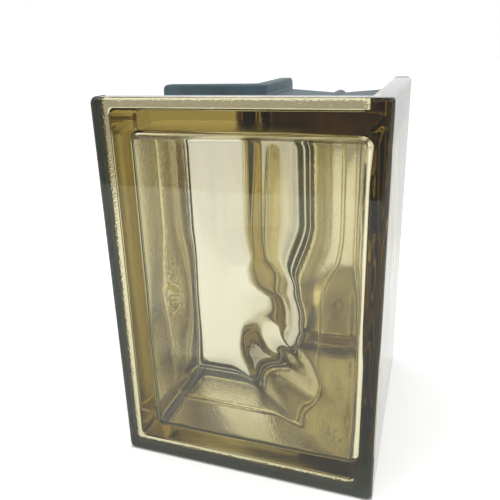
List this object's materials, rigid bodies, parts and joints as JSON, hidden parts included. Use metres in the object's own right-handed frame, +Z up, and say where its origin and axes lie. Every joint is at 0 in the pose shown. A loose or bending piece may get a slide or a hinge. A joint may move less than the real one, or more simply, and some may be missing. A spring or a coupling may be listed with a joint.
{
  "type": "corner glass block",
  "caption": "Hollow L-shaped glass block that turns a glass block wall round a right-angled corner, with a mortar groove round its edges and waves pressed inside its panes.",
  "frame": {"origin": "middle of the footprint's bounding box, at the bottom of the block", "axes": "+Z up, -Y out of the front outer face, +X out of the side outer face; the free ends face -X and +Y and the re-entrant corner opens to -X +Y"},
  "size_m": [0.132, 0.132, 0.19],
  "materials": {
    "glass": "bronze-tinted pressed glass, fire-polished outside, waved inside",
    "edge_coating": "grainy blue-grey bonding paint in the mortar groove"
  },
  "bodies": {
    "root": {"outer_half": "glass", "inner_half": "glass"}
  },
  "joints": []
}
